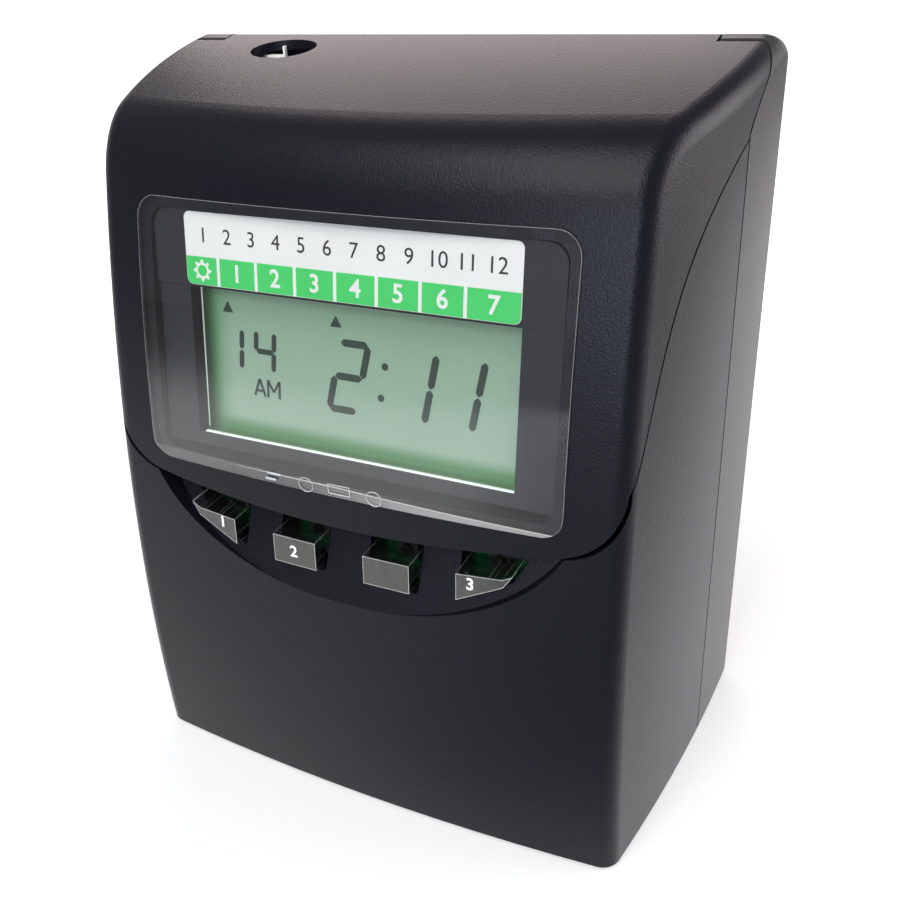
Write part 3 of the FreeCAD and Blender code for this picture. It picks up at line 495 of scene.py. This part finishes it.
smoked = clear_plastic("smoked_clear", (0.80, 0.84, 0.81), 0.06)
tree = smoked.node_tree
facing = tree.nodes.new("ShaderNodeNewGeometry")
sides = tree.nodes.new("ShaderNodeSeparateXYZ")
tree.links.new(facing.outputs["True Normal"], sides.inputs["Vector"])
frontal = reckon(tree, "ABSOLUTE", sides.outputs["Y"])
cloudy = mottle(tree, place_on_piece(tree), 120.0, 1.0)
thickness = graded(tree, cloudy, 0.3, 0.7, 0.25, 0.75)
frost_and_highlight_layer(smoked, (0.115, 0.118, 0.11), graded(tree, frontal, 0.75, 0.9, 0.02, thickness))
# Painted highlight: a pale layer along the front's sharp edges, where light would catch them.
front_rim = graded(tree, frontal, 0.75, 0.85, 0.3, 1.0)
rim_painted_highlight = reckon(tree, "MULTIPLY", edge_mask(tree, 0.00045, 0.85), front_rim)
frost_and_highlight_layer(smoked, (0.75, 0.75, 0.73), rim_painted_highlight)
dress(smoked, "key_in", "key_out", "key_blank", "key_enter")
white_ink = moulding("white_ink", (0.80, 0.80, 0.79), 0.4, 1200.0, 0.00001, 0.3, 0.04)
figure_size, figure_weight, figure_stand = 4.6, 0.1, 0.55
key_tilt = Matrix.Rotation(math.radians(-6.6), 4, "X")
lean_radius, lean_y, lean_z = 642.0, 595.0, 10.0
crown_radius = 800.0
for name, figure, x, z in (("in", "1", -37.7, 87.3), ("out", "2", -14.1, 84.0),
                           ("enter", "3", 37.3, 86.7)):
    crowned = x ** 2 / (2.0 * crown_radius)
    front = lean_y - math.sqrt(lean_radius ** 2 - (z - lean_z) ** 2) + crowned - figure_stand
    printed = lettering(figure, 0.0, 0.0, figure_size, 0.0, figure_weight)
    key_face = Matrix.Translation((x * millimetre, front * millimetre, z * millimetre)) @ key_tilt
    on_display(printed, "figure_" + name, white_ink, key_face, name + "_key")


# Casing: charcoal plastic with a fine spark-eroded texture, in three mouldings.
# The texture scatters highlights into tiny glints along the brow.
texture_scale, parting_radius = 1900.0, 0.0002
casing = moulding("casing_charcoal", (0.0045, 0.0045, 0.0075), 0.35, texture_scale, 0.00014, 0.6,
                  0.10, 0.13, parting_radius)
dress(casing, "hood", "lower_cover")
rear_casing = moulding("casing_charcoal_rear", (0.007, 0.0065, 0.008), 0.40, texture_scale,
                       0.00012, 0.6, 0.10, 0.24, parting_radius)
dress(rear_casing, "rear_shell")


# Window: clear moulded plastic, curved like the hood's front, proud of it by a little.
# Its lower bevel carries a painted reflection, a pale frosted layer from the middle to the right,
# below a painted highlight along its crest line.
clear = clear_plastic("window_clear", (0.95, 0.96, 0.96), 0.03)
tree = clear.node_tree
across = place_along(tree, "X")
crest_middle, crest_side = 0.1060, 0.1037
crest = graded(tree, across, 0.0, 0.057, crest_middle, crest_side)
drop = reckon(tree, "SUBTRACT", crest, place_along(tree, "Z"))
bevel = graded(tree, drop, 0.0, 0.0005)
# Painted reflection on the lower bevel, stronger towards the right.
bevel_reflection_share = graded(tree, across, -0.020, 0.035, 0.02, 0.50, smooth=True)
frost_and_highlight_layer(clear, (0.68, 0.66, 0.67), reckon(tree, "MULTIPLY", bevel, bevel_reflection_share))
# Painted highlight: a thin bright line along the bevel's crest, fading out to the left.
crest_highlight_line = reckon(tree, "COMPARE", drop, 0.0001, 0.00022)
highlight_reach = graded(tree, across, -0.045, -0.005, 0.0, 0.80, smooth=True)
frost_and_highlight_layer(clear, (0.62, 0.60, 0.60), reckon(tree, "MULTIPLY", crest_highlight_line, highlight_reach))
# Painted highlight along the window's sharp edges.
frost_and_highlight_layer(clear, (0.60, 0.60, 0.60), edge_mask(tree, 0.00035, 0.5))
dress(clear, "display_window")


# Moulded marks on the window's bevel: two round ones, a box and a short dash.
# Left by the mould's ejector pins; thin raised outlines of the same plastic, drawn in an opaque
# pale grey that paints the light their edges catch.
pin_mark_glint = moulding("pin_mark_glint", (0.45, 0.45, 0.46), 0.2, 700.0, 0.00001, 0.2, 0.05)
bevel_y = -40.62
marks = []
for x in (-8.7, 11.3):
    bpy.ops.mesh.primitive_torus_add(major_segments=32, minor_segments=4,
                                     major_radius=2.1, minor_radius=0.12, rotation=upright,
                                     location=(x, bevel_y + x * x / (2.0 * crown_radius), 104.8))
    marks.append(bpy.context.active_object)
for x, z, wide, high in ((1.25, 106.6, 6.4, 0.22), (1.25, 103.9, 6.4, 0.22),
                         (-1.9, 105.25, 0.22, 2.8), (4.4, 105.25, 0.22, 2.8),
                         (-18.3, 106.1, 4.2, 0.6), (-19.6, 104.3, 3.2, 0.6)):
    marks.append(plate(x, bevel_y, z, wide, 0.1, high, (0.06, 2)))
on_display(join(marks), "window_pin_marks", pin_mark_glint, Matrix(), "hood")


# Painted glint under the lock's access hole: a bent white strip with an upright end.
# It stands in for the light on the hole's bottom rim and far wall; in the white acetal finish, hung
# on the hood.
hole_y = 33.0
glint_strips = join([plate(-53.2, hole_y, 196.4, 8.4, 1.6, 0.7, (0.15, 2)),
             plate(-49.1, hole_y, 197.7, 0.5, 1.2, 2.8, (0.1, 2)),
             plate(-56.6, hole_y, 197.0, 0.7, 1.6, 1.4, (0.1, 2))])
on_display(glint_strips, "lock_hole_painted_glint", white_acetal, Matrix(), "hood")


# Studio: a pale floor that stays white to the camera, soft lamps, and the camera.
# The floor mirrors bright near the object, less so in front on the right and far away.
bpy.ops.mesh.primitive_plane_add(size=6.0, location=(0.0, 0.0, 0.0))
floor = bpy.context.active_object
floor.name = "floor"
floor_paint = bpy.data.materials.new("floor_paint")
floor_paint.use_nodes = True
tree = floor_paint.node_tree
shader = tree.nodes["Principled BSDF"]
shader.inputs["Base Color"].default_value = (0.4, 0.4, 0.4, 1.0)
shader.inputs["Roughness"].default_value = 0.9
shader.inputs["Emission Color"].default_value = (1.0, 1.0, 1.0, 1.0)
away = tree.nodes.new("ShaderNodeVectorMath")
away.operation = "LENGTH"
tree.links.new(place_on_piece(tree), away.inputs[0])
distance = away.outputs["Value"]
across, back = place_along(tree, "X"), place_along(tree, "Y")
table = graded(tree, distance, 1.2, 0.45, smooth=True)
slanted = reckon(tree, "MULTIPLY_ADD", back, -0.22, across)
right_side = graded(tree, slanted, -0.03, 0.08, smooth=True)
in_front = graded(tree, back, -0.04, -0.08)
bright = reckon(tree, "SUBTRACT", 1.0, reckon(tree, "MULTIPLY", right_side, in_front))
rays = tree.nodes.new("ShaderNodeLightPath")
sheen = reckon(tree, "MULTIPLY", table, bright)
mirrored = reckon(tree, "MULTIPLY", rays.outputs["Is Glossy Ray"], sheen)
seen = reckon(tree, "MAXIMUM", rays.outputs["Is Camera Ray"], rays.outputs["Is Transmission Ray"])
lift = graded(tree, distance, 0.10, 0.45, 0.45, 0.95, smooth=True)
glow = reckon(tree, "MULTIPLY_ADD", seen, lift, mirrored)
tree.links.new(glow, shader.inputs["Emission Strength"])
floor.data.materials.append(floor_paint)

world = bpy.data.worlds.new("studio")
bpy.context.scene.world = world
world.use_nodes = True
tree = world.node_tree
background = tree.nodes["Background"]
background.inputs["Color"].default_value = (1.0, 1.0, 1.0, 1.0)
around = tree.nodes.new("ShaderNodeTexCoord")
heights = tree.nodes.new("ShaderNodeSeparateXYZ")
tree.links.new(around.outputs["Generated"], heights.inputs["Vector"])
toward_front = reckon(tree, "MINIMUM", heights.outputs["Y"], 0.0)
height = reckon(tree, "MULTIPLY_ADD", toward_front, -0.8, heights.outputs["Z"])
ceiling = graded(tree, height, -0.05, 0.60, 1.0, 0.30, smooth=True)
rays = tree.nodes.new("ShaderNodeLightPath")
room_level = 0.65
room = graded(tree, rays.outputs["Is Glossy Ray"], 0.0, 1.0, room_level, ceiling)
seen = reckon(tree, "MAXIMUM", rays.outputs["Is Camera Ray"], rays.outputs["Is Transmission Ray"])
tree.links.new(graded(tree, seen, 0.0, 1.0, room, 1.0), background.inputs["Strength"])


def lamp(name, place, aim, size, power):
    """A square soft box pointed at a spot."""
    bpy.ops.object.light_add(type="AREA", location=place)
    light = bpy.context.active_object
    light.name = name
    light.data.shape = "SQUARE"
    light.data.size = size
    light.data.energy = power
    light.rotation_euler = (Vector(aim) - Vector(place)).to_track_quat("-Z", "Y").to_euler()
    return light


warm = lamp("top_softbox", (-0.45, 0.95, 0.62), (0.0, 0.0, 0.17), 0.8, 5.2)
warm.data.color = (1.0, 0.86, 0.86)
lamp("right_softbox", (0.90, 0.45, 0.40), (0.0, 0.0, 0.1), 0.7, 11.5).data.color = (1.0, 0.95, 0.96)
lamp("brow_softbox", (-0.12, -0.95, 0.98), (0.0, 0.0, 0.18), 0.4, 8.0)
lamp("overhead_softbox", (-0.18, -0.42, 1.05), (0.0, 0.0, 0.18), 0.35, 4.6)
sky = lamp("front_softbox", (0.10, -1.25, 0.36), (0.03, -0.03, 0.158), 0.35, 8.0)
sky.data.color = (0.76, 0.87, 1.0)
# The front lamp leaves out the polished clear pieces, which would mirror its outline.
polished = bpy.data.collections.new("polished_clear")
for name in ("display_window", "key_in", "key_out", "key_blank", "key_enter"):
    polished.objects.link(nodes[name])
sky.light_linking.receiver_collection = polished
for receiver in polished.collection_objects:
    receiver.light_linking.link_state = "EXCLUDE"

bpy.ops.object.camera_add(location=(0.1248, -0.2147, 0.2352))
camera = bpy.context.active_object
turn = Matrix(((0.8991, -0.1697, 0.4034), (0.4338, 0.4682, -0.7698), (-0.0583, 0.8671, 0.4947)))
camera.rotation_euler = turn.to_euler()
camera.data.lens = 39.45
camera.data.sensor_width = 36.0
camera.data.clip_start = 0.01
bpy.context.scene.camera = camera
bpy.context.scene.view_settings.view_transform = "Standard"
